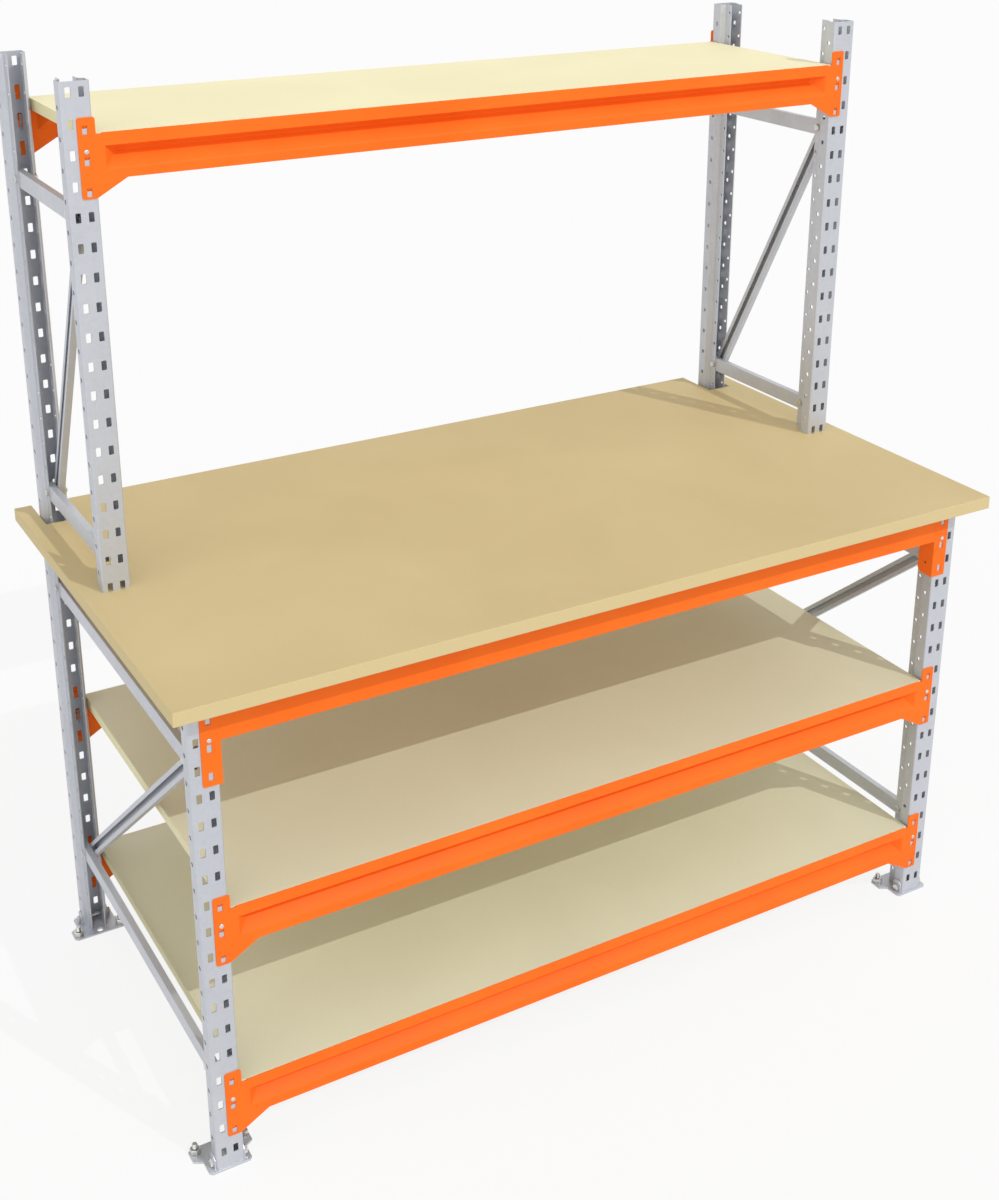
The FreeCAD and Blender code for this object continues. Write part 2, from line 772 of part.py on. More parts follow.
SHELVES = {
    "lowest": (FRONT, LOWEST_SHELF_SLOT),
    "middle": (FRONT, MIDDLE_SHELF_SLOT),
    "top": (UPPER_FRONT, TOP_SHELF_SLOT),
}
for name, (front, slot) in SHELVES.items():
    pieces.append(make_beam(f"{name}_front_beam", front, level(slot), False))
    pieces.append(make_beam(f"{name}_rear_beam", REAR, level(slot), True))
    pieces.append(make_board(f"{name}_board", front, slot))

pieces.append(make_worktop())
for end, deep in WEB.items():
    pieces.append(make_carrier(f"worktop_{end}_beam", deep, end == "rear"))

# Bolts through the braces, and those that hold the feet
brace_places = []
for across in SIDES.values():
    for front, slots in ((FRONT, LOWER_BRACE_SLOTS), (UPPER_FRONT, UPPER_BRACE_SLOTS)):
        for deep in (f"{front} + brace_bolt_depth", f"{REAR} - brace_bolt_depth"):
            brace_places += [(across, deep, level(slot), False) for slot in slots]
brace_tail = "brace_nut_height + bolt_end"
brace_bolt = make_bolt("brace_bolt", "brace_bolt_head", "brace_bolt_head_height",
                       "brace_bolt_diameter", "throat_width", brace_tail)
brace_nut = make_nut("brace_nut", "brace_bolt_head", "brace_nut_height",
                     "brace_bolt_diameter", "throat_width")
pieces.append(make_group("brace_bolts", brace_bolt, brace_places))
pieces.append(make_group("brace_nuts", brace_nut, brace_places))

foot_places = []
anchor_places = []
for end, side in CORNERS:
    inwards = "+" if end == "front" else "-"
    foot_height = "foot_plate + first_slot - slot_pitch/2"
    foot_places.append((SIDES[side], f"{WEB[end]} {inwards} foot_bolt_depth", foot_height, False))
    for lobe in ("-", "+"):
        across = f"{SIDES[side]} {lobe} anchor_spread/2"
        anchor_places.append((across, f"{WEB[end]} {inwards} anchor_depth", "0", False))
foot_grip = "(post_width + 2*ear_wall)"
foot_bolt = make_bolt("foot_bolt", "foot_bolt_head", "foot_bolt_head_height",
                      "foot_bolt_diameter", foot_grip, "foot_nut_height + bolt_end")
foot_nut = make_nut("foot_nut", "foot_bolt_head", "foot_nut_height", "foot_bolt_diameter", foot_grip)
pieces.append(make_group("foot_bolts", foot_bolt, foot_places))
pieces.append(make_group("foot_nuts", foot_nut, foot_places))
pieces.append(make_group("anchor_bolts", make_anchor(), anchor_places))
pieces.append(make_group("anchor_washers", make_washer(), anchor_places))

# Lock pins, one beside the middle hook of every end plate and connector
pin_places = []
for side, across in SIDES.items():
    column = f"{across} {'+' if side == 'left' else '-'} {SLOT_COLUMN}"
    for front, slot in SHELVES.values():
        height = f"{level(slot)} - slot_pitch + pin_rise"
        pin_places += [(column, front, height, False), (column, REAR, height, True)]
    height = f"{level(WORKTOP_SLOT)} - slot_pitch"
    pin_places += [(column, FRONT, height, False), (column, REAR, height, True)]
pieces.append(make_group("lock_pins", make_pin(), pin_places))

# Every object is checked before any file is written
doc.recompute()
for item in doc.Objects:
    if "Invalid" in item.State or "Error" in item.State:
        raise RuntimeError(f"{item.Label}: {item.State}")
os.makedirs("parts", exist_ok=True)
for piece in pieces:
    if piece.Shape.isNull() or not piece.Shape.isValid():
        raise RuntimeError(f"{piece.Label}: no valid shape")
for piece in pieces:
    piece.Shape.exportStep(f"parts/{piece.Label}.step")
    box = piece.Shape.BoundBox
    print(f"{piece.Label}: {len(piece.Shape.Solids)} solids, {box.XLength:.1f} x {box.YLength:.1f} x "
          f"{box.ZLength:.1f} mm")
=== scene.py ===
# %% [markdown]
# # A packing table of slotted steel posts
# The table is bolted and hooked together from galvanised posts, orange beams and boards. The
# construction model already has every piece in its place, so this lesson gives each of them the
# edges, holes and finish that the real one has. Everything is in metres, in the frame of the
# construction model.

# %% Load the frame
import math

import bmesh
import bpy
from mathutils import Matrix, Vector
from mathutils.geometry import delaunay_2d_cdt


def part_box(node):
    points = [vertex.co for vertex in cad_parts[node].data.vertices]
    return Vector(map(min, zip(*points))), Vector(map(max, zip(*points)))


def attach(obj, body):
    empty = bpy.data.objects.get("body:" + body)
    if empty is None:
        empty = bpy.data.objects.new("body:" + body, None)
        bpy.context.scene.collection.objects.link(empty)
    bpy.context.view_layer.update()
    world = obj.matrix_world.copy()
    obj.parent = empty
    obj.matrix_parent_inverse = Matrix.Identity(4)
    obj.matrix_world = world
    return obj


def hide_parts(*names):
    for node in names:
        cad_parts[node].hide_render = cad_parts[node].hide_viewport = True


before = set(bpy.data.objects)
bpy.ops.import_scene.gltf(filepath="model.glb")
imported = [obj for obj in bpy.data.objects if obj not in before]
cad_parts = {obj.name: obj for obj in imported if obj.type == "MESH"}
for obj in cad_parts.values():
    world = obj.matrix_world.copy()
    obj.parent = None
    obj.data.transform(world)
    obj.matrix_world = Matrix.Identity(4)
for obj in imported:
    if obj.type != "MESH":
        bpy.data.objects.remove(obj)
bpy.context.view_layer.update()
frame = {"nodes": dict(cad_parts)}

NODES = frame["nodes"]
MM = 0.001
print(f"the frame has {len(NODES)} pieces")

# %% [markdown]
# ## Camera
# The table is seen from its front left corner and from above. A camera can be found by eye, but
# the slots are a ruler along every post, so its place and lens were worked out from them. A camera
# that tilts down makes upright posts lean, so a part of the tilt is given to a vertical shift of
# the lens instead.

# %% Camera
LENS = 49.95
SHIFT_UP = -0.16
TURN, TILT = 29.978, 19.688
CAMERA_PLACE = (-1.5093, -2.5896, 2.1973)


def put_in_scene(thing):
    """Add an object to the scene."""
    bpy.context.scene.collection.objects.link(thing)
    return thing


camera_data = bpy.data.cameras.new("camera")
camera_data.lens = LENS
camera_data.shift_y = SHIFT_UP
camera = put_in_scene(bpy.data.objects.new("camera", camera_data))
camera.location = CAMERA_PLACE
camera.rotation_euler = (math.radians(90 - TILT), 0, math.radians(-TURN))
bpy.context.scene.camera = camera
bpy.context.scene.view_settings.view_transform = "Standard"
print(f"camera at {[round(value, 2) for value in camera.location]}")

# %% [markdown]
# ## Nodes in few words
# Materials and geometry trees are made of many nodes. They can be drawn by hand in the node editor,
# but a script can be read and run again. These helpers add a node, set its inputs by name and link
# it, so that each finish below reads as a short list.

# %% Node helpers
MIX_FACTOR, MIX_FIRST, MIX_SECOND, MIX_RESULT = 0, 6, 7, 2


def set_inputs(tree, node, values):
    """Set inputs by name or number: a socket is linked, and anything else is a plain value."""
    for name, value in values.items():
        if isinstance(value, bpy.types.NodeSocket):
            tree.links.new(value, node.inputs[name])
        else:
            node.inputs[name].default_value = value


def add_node(tree, kind, values=None, **settings):
    """Add a node with its settings and its inputs."""
    node = tree.nodes.new(kind)
    for key, value in settings.items():
        setattr(node, key, value)
    set_inputs(tree, node, values or {})
    return node


def maths(tree, operation, *values):
    """Work out one number from one or two others."""
    return add_node(tree, "ShaderNodeMath", dict(enumerate(values)), operation=operation).outputs[0]


def spread(tree, value, low, high, to_low, to_high):
    """Stretch a value from one range to another."""
    values = {"Value": value, "From Min": low, "From Max": high,
              "To Min": to_low, "To Max": to_high}
    return add_node(tree, "ShaderNodeMapRange", values).outputs["Result"]


def mix_colours(tree, factor, first, second):
    """Mix two colours by a mask."""
    values = {MIX_FACTOR: factor, MIX_FIRST: first, MIX_SECOND: second}
    return add_node(tree, "ShaderNodeMix", values, data_type="RGBA").outputs[MIX_RESULT]


NODE_HELPERS = (set_inputs, add_node, maths, spread, mix_colours)
print("node helpers:", [helper.__name__ for helper in NODE_HELPERS])

# %% [markdown]
# ## Shared effects
# Three effects come back in several finishes: a fine grain (the peel of the paint, the fibres of
# the boards), small cells (the crystals of zinc on galvanised sheet, the chips in a sawn edge), and
# the faint clouds that handling leaves. Each could be drawn anew in every material, but as a group
# it is built once and placed in a material with its own scale.


# %% Fine grain
def new_group(name, inputs):
    """Start a shader group that takes a place and named values, and gives a mask."""
    group = bpy.data.node_groups.new(name, "ShaderNodeTree")
    group.interface.new_socket("Vector", in_out="INPUT", socket_type="NodeSocketVector")
    for label in inputs:
        group.interface.new_socket(label, in_out="INPUT", socket_type="NodeSocketFloat")
    group.interface.new_socket("Mask", in_out="OUTPUT", socket_type="NodeSocketFloat")
    given = group.nodes.new("NodeGroupInput").outputs
    return group, given, group.nodes.new("NodeGroupOutput")


MIDDLE = 0.5
grain_group, given, result = new_group("fine_grain", ["Scale", "Contrast"])
noise = add_node(grain_group, "ShaderNodeTexNoise", {
    "Vector": given["Vector"], "Scale": given["Scale"], "Detail": 3.0, "Roughness": 0.6})
half = maths(grain_group, "DIVIDE", MIDDLE, given["Contrast"])
low = maths(grain_group, "SUBTRACT", MIDDLE, half)
high = maths(grain_group, "ADD", MIDDLE, half)
mask = spread(grain_group, noise.outputs["Fac"], low, high, 0.0, 1.0)
set_inputs(grain_group, result, {"Mask": mask})
print("shared effect:", grain_group.name)

# %% Zinc crystals
BEND_OF_CELLS = 0.006
spangle_group, given, result = new_group("zinc_spangle", ["Scale"])
bend = add_node(spangle_group, "ShaderNodeTexNoise", {
    "Vector": given["Vector"], "Scale": given["Scale"], "Detail": 2.0})
pull = add_node(spangle_group, "ShaderNodeVectorMath", {
    0: bend.outputs["Color"], "Scale": BEND_OF_CELLS}, operation="SCALE")
bent = add_node(spangle_group, "ShaderNodeVectorMath", {
    0: given["Vector"], 1: pull.outputs[0]}, operation="ADD")
cells = add_node(spangle_group, "ShaderNodeTexVoronoi", {
    "Vector": bent.outputs[0], "Scale": given["Scale"]})
grey = add_node(spangle_group, "ShaderNodeRGBToBW", {"Color": cells.outputs["Color"]})
set_inputs(spangle_group, result, {"Mask": grey.outputs[0]})
print("shared effect:", spangle_group.name)

# %% Handling clouds
CLOUD_LOW, CLOUD_HIGH = 0.35, 0.7
cloud_group, given, result = new_group("handling_clouds", ["Scale"])
cloud = add_node(cloud_group, "ShaderNodeTexNoise", {
    "Vector": given["Vector"], "Scale": given["Scale"], "Detail": 5.0, "Distortion": 0.4})
mask = spread(cloud_group, cloud.outputs["Fac"], CLOUD_LOW, CLOUD_HIGH, 0.0, 1.0)
set_inputs(cloud_group, result, {"Mask": mask})
print("shared effect:", cloud_group.name)

# %% [markdown]
# ## Finishes
# Every finish starts the same way: a Principled shader and the piece's own coordinates. What is the
# same all over is set on the shader, and only what changes over the surface comes from nodes.


# %% Start of a finish
def new_finish(name, values):
    """Start a material and give its tree, shader and coordinates."""
    material = bpy.data.materials.new(name)
    material.use_nodes = True
    tree = material.node_tree
    shader = tree.nodes["Principled BSDF"]
    set_inputs(tree, shader, values)
    return material, tree, shader, add_node(tree, "ShaderNodeTexCoord").outputs["Object"]


def use_group(tree, group, place, **values):
    """Place a shared effect in a material and give its mask."""
    inputs = {"Vector": place, **values}
    return add_node(tree, "ShaderNodeGroup", inputs, node_tree=group).outputs["Mask"]


def raised(tree, height, strength, distance):
    """Give the directions of a surface that a mask raises a little."""
    values = {"Strength": strength, "Distance": distance, "Height": height}
    return add_node(tree, "ShaderNodeBump", values).outputs["Normal"]


print("finish helpers:", [helper.__name__ for helper in (new_finish, use_group, raised)])

# %% [markdown]
# ### Galvanised steel and zinc
# Sheet that was galvanised before it was rolled has small crystals of zinc that catch the light
# differently, and soft clouds where it was handled. Plated fasteners have smaller crystals, and are
# brighter. A picture of such sheet would repeat and blur, and cells that are worked out don't.

# %% Metals
GLOSS_CHANGE = 0.06


def make_metal(name, metallic, dark, light, spangle, rough):
    """Make a zinc finish: crystals and clouds in its shade and gloss, a fine grain in its skin."""
    material, tree, shader, place = new_finish(name, {
        "Metallic": metallic, "Specular IOR Level": 0.5})
    crystals = use_group(tree, spangle_group, place, Scale=spangle)
    clouds = use_group(tree, cloud_group, place, Scale=9.0)
    grain = use_group(tree, grain_group, place, Scale=700.0, Contrast=3.0)
    shade = maths(tree, "ADD", crystals, clouds)
    share = spread(tree, shade, 0.1, 1.7, 0.0, 1.0)
    set_inputs(tree, shader, {
        "Base Color": mix_colours(tree, share, dark, light),
        "Roughness": spread(tree, shade, 0.0, 2.0, rough + GLOSS_CHANGE, rough - GLOSS_CHANGE),
        "Normal": raised(tree, grain, strength=0.05, distance=0.0004)})
    return material


steel = make_metal("galvanised_steel", metallic=0.45, spangle=170.0, rough=0.42,
                   dark=(0.53, 0.55, 0.595, 1), light=(0.58, 0.60, 0.645, 1))
zinc = make_metal("zinc_plate", metallic=0.85, spangle=400.0, rough=0.25,
                  dark=(0.52, 0.52, 0.51, 1), light=(0.70, 0.69, 0.66, 1))
print("metals:", steel.name, zinc.name)

# %% [markdown]
# ### Orange paint
# The beams are powder coated. The coat is even in colour but has a fine peel, and its gloss changes
# a little from place to place. One flat colour would look like printed card, so the grain group
# gives the peel, and the clouds move the colour and the gloss a little.

# %% Paint
DEEP_ORANGE, PALE_ORANGE = (0.98, 0.16, 0.012, 1), (1.0, 0.185, 0.016, 1)
paint, tree, shader, place = new_finish("orange_paint", {
    "Metallic": 0.0, "Specular IOR Level": 0.14})
peel = use_group(tree, grain_group, place, Scale=420.0, Contrast=2.0)
clouds = use_group(tree, cloud_group, place, Scale=5.0)
set_inputs(tree, shader, {
    "Base Color": mix_colours(tree, clouds, DEEP_ORANGE, PALE_ORANGE),
    "Roughness": spread(tree, clouds, 0.0, 1.0, 0.48, 0.56),
    "Normal": raised(tree, peel, strength=0.06, distance=0.0003)})
print("paint:", paint.name)

# %% [markdown]
# ### Boards
# Worktop and shelves are pressed board. The faces are sanded, so the chips are only a faint speckle
# there; along the sawn edges they are coarser. Faces and edges could be two materials, but the
# direction of the surface tells one from the other, so one is enough. All shelves are the same
# board, but the faces of the two lower ones are painted darker, as painted shade from the worktop
# and shelves above them. The worktop is the brownest. The top shelf's board is a
# little paler than the two below, and the worktop is the brownest.

# %% Board finishes
BOARD_ROUGH, ROUGH_CHANGE = 0.6, 0.05


def make_board_finish(name, dark, light, edge_dark, edge_light):
    """Make a board: a faint speckle on its faces and coarser chips along its edges."""
    material, tree, shader, place = new_finish(name, {
        "Metallic": 0.0, "Specular IOR Level": 0.35})
    fine = use_group(tree, grain_group, place, Scale=380.0, Contrast=2.2)
    clouds = use_group(tree, cloud_group, place, Scale=3.0)
    chips = use_group(tree, spangle_group, place, Scale=330.0)
    normal = add_node(tree, "ShaderNodeNewGeometry").outputs["Normal"]
    upward = add_node(tree, "ShaderNodeSeparateXYZ", {0: normal}).outputs["Z"]
    on_face = spread(tree, maths(tree, "ABSOLUTE", upward), 0.4, 0.8, 0.0, 1.0)
    speckle = spread(tree, maths(tree, "ADD", fine, clouds), 0.2, 1.8, 0.0, 1.0)
    face = mix_colours(tree, speckle, dark, light)
    edge = mix_colours(tree, chips, edge_dark, edge_light)
    smoothest, roughest = BOARD_ROUGH - ROUGH_CHANGE, BOARD_ROUGH + ROUGH_CHANGE
    set_inputs(tree, shader, {
        "Base Color": mix_colours(tree, on_face, edge, face),
        "Roughness": spread(tree, fine, 0.0, 1.0, smoothest, roughest),
        "Normal": raised(tree, fine, strength=0.08, distance=0.0003)})
    return material


worktop_finish = make_board_finish(
    "worktop_board", dark=(0.60, 0.475, 0.24, 1), light=(0.67, 0.54, 0.285, 1),
    edge_dark=(0.65, 0.525, 0.27, 1), edge_light=(0.67, 0.54, 0.28, 1))
top_shelf_finish = make_board_finish(
    "shelf_board", dark=(0.87, 0.80, 0.50, 1), light=(0.94, 0.87, 0.56, 1),
    edge_dark=(0.79, 0.72, 0.43, 1), edge_light=(0.82, 0.75, 0.455, 1))
# Painted shade: the same shelf board with darker faces, standing in for the shade under the worktop
# and upper shelves.
shade_darkened_shelf_finish = make_board_finish(
    "shade_darkened_shelf_board", dark=(0.715, 0.68, 0.49, 1), light=(0.78, 0.745, 0.54, 1),
    edge_dark=(0.78, 0.73, 0.46, 1), edge_light=(0.81, 0.76, 0.485, 1))
print("boards:", worktop_finish.name, top_shelf_finish.name, shade_darkened_shelf_finish.name)

# %% [markdown]
# ## Small tools for pieces
# A finished piece is a plain mesh at the origin. One helper puts it in the scene and hides the
# construction pieces it takes the place of, one turns a mesh with modifiers into such a mesh, and
# one shades it.


# %% Piece helpers
def finish_piece(name, mesh, material, slot, *replaced):
    """Put a mesh in the scene, on the table's only body, in place of construction pieces."""
    mesh.materials.clear()
    mesh.materials.append(material)
    piece = put_in_scene(bpy.data.objects.new(name, mesh))
    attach(piece, "root")
    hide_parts(*replaced)
    return piece


def plain_mesh(holder):
    """Take the mesh that an object's modifiers make, and remove both them and the object."""
    graph = bpy.context.evaluated_depsgraph_get()
    mesh = bpy.data.meshes.new_from_object(holder.evaluated_get(graph))
    holder.modifiers.clear()
    bpy.data.objects.remove(holder)
    return mesh


def settle(mesh, kind, **settings):
    """Run a modifier on a mesh and give the result as a plain mesh."""
    holder = put_in_scene(bpy.data.objects.new("holder", mesh))
    modifier = holder.modifiers.new(kind.lower(), kind)
    for key, value in settings.items():
        setattr(modifier, key, value)
    return plain_mesh(holder)


def mesh_of(bm, name):
    """Turn edited faces into a mesh."""
    mesh = bpy.data.meshes.new(name)
    bm.to_mesh(mesh)
    bm.free()
    return mesh


SHARP = math.radians(35)


def smooth(mesh):
    """Shade the mesh smooth, except over sharp edges."""
    mesh.shade_smooth()
    mesh.set_sharp_from_angle(angle=SHARP)
    return mesh


def keep_flats_flat(mesh):
    """Let large faces decide how the rounds between them are shaded."""
    return settle(mesh, "WEIGHTED_NORMAL", keep_sharp=True)


print("piece helpers:", [helper.__name__ for helper in (finish_piece, settle, mesh_of, smooth)])

# %% [markdown]
# ## Slotted posts
# A post is a rolled channel, punched with the same slots and holes every 50 mm. Cutting several
# hundred holes one by one would be slow and fragile. Instead one 50 mm length of sheet is drawn
# flat, with its holes, and folded; Geometry Nodes repeat it up the post, and the ends are cut to
# length. The sheet is drawn in millimetres: first the line of the profile, rounded at its folds.

# %% Profile of a post
HALF_PROFILE = [(0, 0), (25, 0), (25, 26), (15, 31), (15, 50.5)]
FOLD_RADII = [0, 3.2, 4, 4, 0]
ARC_STEPS = 3


def round_corners(points, radii):
    """Replace the corners of a line with arcs."""
    line = []
    for index, (point, radius) in enumerate(zip(points, radii)):
        here = Vector(point)
        if not radius:
            line.append(here)
            continue
        back = (Vector(points[index - 1]) - here).normalized()
        on = (Vector(points[(index + 1) % len(points)]) - here).normalized()
        half = back.angle(on) / 2
        centre = here + (back + on).normalized() * (radius / math.sin(half))
        start = here + back * (radius / math.tan(half)) - centre
        end = here + on * (radius / math.tan(half)) - centre
        swing = start.angle_signed(end)
        for step in range(ARC_STEPS + 1):
            line.append(centre + Matrix.Rotation(-swing * step / ARC_STEPS, 2) @ start)
    return line


def profile_line():
    """Give the corners of the profile, and how far along the sheet each is from the middle."""
    half = round_corners(HALF_PROFILE, FOLD_RADII)
    line = [Vector((-point.x, point.y)) for point in reversed(half[1:])] + half
    runs = [0.0]
    for first, second in zip(line, line[1:]):
        runs.append(runs[-1] + (second - first).length)
    middle = runs[len(half) - 1]
    return line, [run - middle for run in runs]


LINE, RUNS = profile_line()
print(f"a post is folded from sheet {RUNS[-1] - RUNS[0]:.1f} mm wide")

# %% [markdown]
# Two columns of slots are in the face of a post, and round holes in each part of its side walls.
# Their outlines are drawn on the flat sheet. A hole in a side wall is given by its depth behind the
# face, so its place along the sheet is looked up first.

# %% Slots and holes
SLOT_HALF, SLOT_ROUND, SLOT_COLUMN = (4.5, 8.25), 1.8, 10.85
NEAR_HOLE, FAR_HOLE = (15.5, 25, 9), (44, 0, 7)
SHORT_OF_ROUND = 0.001


def ring(across, up, half_width, half_height, radius):
    """Give a rounded rectangle, or a circle where the radius is almost both halves."""
    corners = [(-half_width, -half_height), (half_width, -half_height),
               (half_width, half_height), (-half_width, half_height)]
    return [point + Vector((across, up)) for point in round_corners(corners, [radius] * 4)]


def run_at(depth):
    """Give how far along the sheet the right wall reaches a depth."""
    for index in range(len(LINE) // 2, len(LINE) - 1):
        near, far = LINE[index].y, LINE[index + 1].y
        if near <= depth <= far and far > near:
            share = (depth - near) / (far - near)
            return RUNS[index] + share * (RUNS[index + 1] - RUNS[index])


HOLES = []
for side in (-1, 1):
    HOLES.append(ring(side * SLOT_COLUMN, 0, *SLOT_HALF, SLOT_ROUND))
    for depth, up, width in (NEAR_HOLE, FAR_HOLE):
        half = width / 2
        HOLES.append(ring(side * run_at(depth), up, half, half, half - SHORT_OF_ROUND))
print(f"one pitch of a post has {len(HOLES)} holes")

# %% [markdown]
# The flat sheet is filled by Blender's own constrained triangulation: the fold lines and the edges
# of the holes are kept as edges, and the triangles that lie in a hole are dropped. Each point then
# moves from its place on the flat sheet to its place on the folded profile.

# %% Flat sheet
CELL_LOW, CELL_HIGH = -12.5, 37.5
TINY = 1e-6


def flat_sheet():
    """Fill one pitch of flat sheet between its outline, its fold lines and its holes."""
    points, edges = [], []
    for run in RUNS:
        points += [Vector((run, CELL_LOW)), Vector((run, CELL_HIGH))]
        edges.append((len(points) - 2, len(points) - 1))
    for index in range(0, len(points) - 2, 2):
        edges += [(index, index + 2), (index + 1, index + 3)]
    for hole in HOLES:
        first = len(points)
        points += hole
        edges += [(first + index, first + (index + 1) % len(hole)) for index in range(len(hole))]
    flat, _, triangles, *_ = delaunay_2d_cdt(points, edges, [], 0, 10 * TINY)
    return flat, triangles


FLAT, TRIANGLES = flat_sheet()
print(f"the flat sheet has {len(TRIANGLES)} triangles, with those in its holes")


# %% One pitch of a post
def fold(point):
    """Move a point of the flat sheet to its place on the folded profile."""
    index = max(i for i in range(len(RUNS) - 1) if point.x >= RUNS[i] - TINY or i == 0)
    share = (point.x - RUNS[index]) / (RUNS[index + 1] - RUNS[index])
    spot = LINE[index].lerp(LINE[index + 1], share)
    return Vector((spot.x * MM, spot.y * MM, point.y * MM))


def inside(point, loop):
    """Tell whether a point lies in a rounded outline whose corners run anticlockwise."""
    pairs = zip(loop, loop[1:] + loop[:1])
    return all((b - a).cross(point - a) > 0 for a, b in pairs if (b - a).length > TINY)


def fold_cell():
    """Make one pitch of a post's outer face, folded to its profile."""
    bm = bmesh.new()
    corners = [bm.verts.new(fold(point)) for point in FLAT]
    for triangle in TRIANGLES:
        centre = sum((FLAT[index] for index in triangle), Vector((0, 0))) / 3
        if not any(inside(centre, hole) for hole in HOLES):
            bm.faces.new([corners[index] for index in triangle])
    loose = [corner for corner in bm.verts if not corner.link_faces]
    bmesh.ops.delete(bm, geom=loose, context="VERTS")
    return mesh_of(bm, "post_cell")


cell = put_in_scene(bpy.data.objects.new("post_cell", fold_cell()))
print(f"one pitch of a post has {len(cell.data.polygons)} faces on its outer side")

# %% [markdown]
# The tree below sets the pitch along a line, joins the copies where they meet and gives them their
# finish. The same tree makes all six posts; only the count and the ends differ.

# %% Geometry tree that repeats a pitch
JOIN = 0.01 * MM


def new_tree(name, inputs):
    """Start a geometry tree with named inputs."""
    tree = bpy.data.node_groups.new(name, "GeometryNodeTree")
    tree.interface.new_socket("Geometry", in_out="INPUT", socket_type="NodeSocketGeometry")
    keys = {}
    for label, kind in inputs.items():
        socket = tree.interface.new_socket(label, in_out="INPUT", socket_type=kind)
        keys[label] = socket.identifier
    tree.interface.new_socket("Geometry", in_out="OUTPUT", socket_type="NodeSocketGeometry")
    given = tree.nodes.new("NodeGroupInput").outputs
    return tree, keys, given, tree.nodes.new("NodeGroupOutput")


post_tree, post_keys, given, result = new_tree("repeat_up_the_post", {
    "Shape": "NodeSocketObject", "Count": "NodeSocketInt", "Start": "NodeSocketVector",
    "Step": "NodeSocketVector", "Finish": "NodeSocketMaterial"})
shape = add_node(post_tree, "GeometryNodeObjectInfo", {"Object": given["Shape"]})
rungs = add_node(post_tree, "GeometryNodeMeshLine", {
    "Count": given["Count"], "Start Location": given["Start"], "Offset": given["Step"]})
copies = add_node(post_tree, "GeometryNodeInstanceOnPoints", {
    "Points": rungs.outputs[0], "Instance": shape.outputs["Geometry"]})
real = add_node(post_tree, "GeometryNodeRealizeInstances", {"Geometry": copies.outputs[0]})
joined = add_node(post_tree, "GeometryNodeMergeByDistance", {
    "Geometry": real.outputs[0], "Distance": JOIN})
dressed = add_node(post_tree, "GeometryNodeSetMaterial", {
    "Geometry": joined.outputs[0], "Material": given["Finish"]})
set_inputs(post_tree, result, {0: dressed.outputs[0]})
print("geometry tree:", post_tree.name, "with", list(post_keys))

# %% [markdown]
# The sheet gets its 2 mm wall last, after the ends are cut, so that the cut ends show the wall too.
# The posts at the back stand the other way round, with their slotted face to the rear.

# %% Posts
PITCH, WALL, FLOOR_SLOT = 50 * MM, 2 * MM, 37 * MM
POST_X = {"left": -780 * MM, "right": 780 * MM}
POST_Y = {"front": -400 * MM, "rear": 400 * MM, "upper": 0.0}
HALF_TURN = Matrix.Rotation(math.pi, 4, "Z")


def grow(tree, keys, host_mesh, values):
    """Run a geometry tree on a host mesh and give the plain mesh that it makes."""
    host = bpy.data.objects.new("host", host_mesh)
    modifier = host.modifiers.new("repeat", "NODES")
    modifier.node_group = tree
    for label, value in values.items():
        modifier[keys[label]] = value
    return plain_mesh(put_in_scene(host))


def make_post(node, across, deep, turned):
    """Make one post between the ends of its construction piece."""
    bottom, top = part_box(node)[0].z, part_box(node)[1].z
    first = math.floor((bottom - FLOOR_SLOT) / PITCH)
    count = math.ceil((top - FLOOR_SLOT) / PITCH) - first + 1
    mesh = grow(post_tree, post_keys, bpy.data.meshes.new("empty"), {
        "Shape": cell, "Count": count, "Start": (0, 0, FLOOR_SLOT + PITCH * first),
        "Step": (0, 0, PITCH), "Finish": steel})
    bm = bmesh.new()
    bm.from_mesh(mesh)
    for height, outward in ((bottom, -1), (top, 1)):
        bmesh.ops.bisect_plane(
            bm, geom=bm.verts[:] + bm.edges[:] + bm.faces[:], plane_co=(0, 0, height),
            plane_no=(0, 0, outward), clear_outer=True)
    turn = HALF_TURN if turned else Matrix()
    place = Matrix.Translation((across, deep, 0)) @ turn
    bmesh.ops.transform(bm, matrix=place, verts=bm.verts)
    walled = settle(mesh_of(bm, "post"), "SOLIDIFY",
                    thickness=WALL, offset=-1, use_even_offset=True)
    shaded = keep_flats_flat(smooth(walled))
    return finish_piece(f"slotted_{node}", shaded, steel, "galvanised_steel", node)


for side, across in POST_X.items():
    for row, deep in POST_Y.items():
        post = make_post(f"post_{row}_{side}", across, deep, turned=row == "rear")
        print(post.name, len(post.data.polygons), "faces")
bpy.data.objects.remove(cell)

# %% [markdown]
# ## Braces and feet
# The braces are folded from sheet and the feet are pressed, and none of their edges is a perfect
# knife edge. They could be drawn again, but their shapes are right in the construction model. So
# each is copied, its triangles are joined back into flat faces, and a narrow bevel breaks the edges
# so that they catch the light. Very short edges, such as those along small rounds, are left.

# %% Copies of construction pieces
SAME_POINT, SAME_PLANE = 0.005 * MM, math.radians(0.5)
SLIVER = 0.002 * MM


def flat_copy(node):
    """Copy a construction piece with its triangles joined back into flat faces."""
    bm = bmesh.new()
    bm.from_mesh(NODES[node].data)
    bmesh.ops.remove_doubles(bm, verts=bm.verts, dist=SAME_POINT)
    bmesh.ops.dissolve_limit(bm, angle_limit=SAME_PLANE, verts=bm.verts, edges=bm.edges)
    return bm


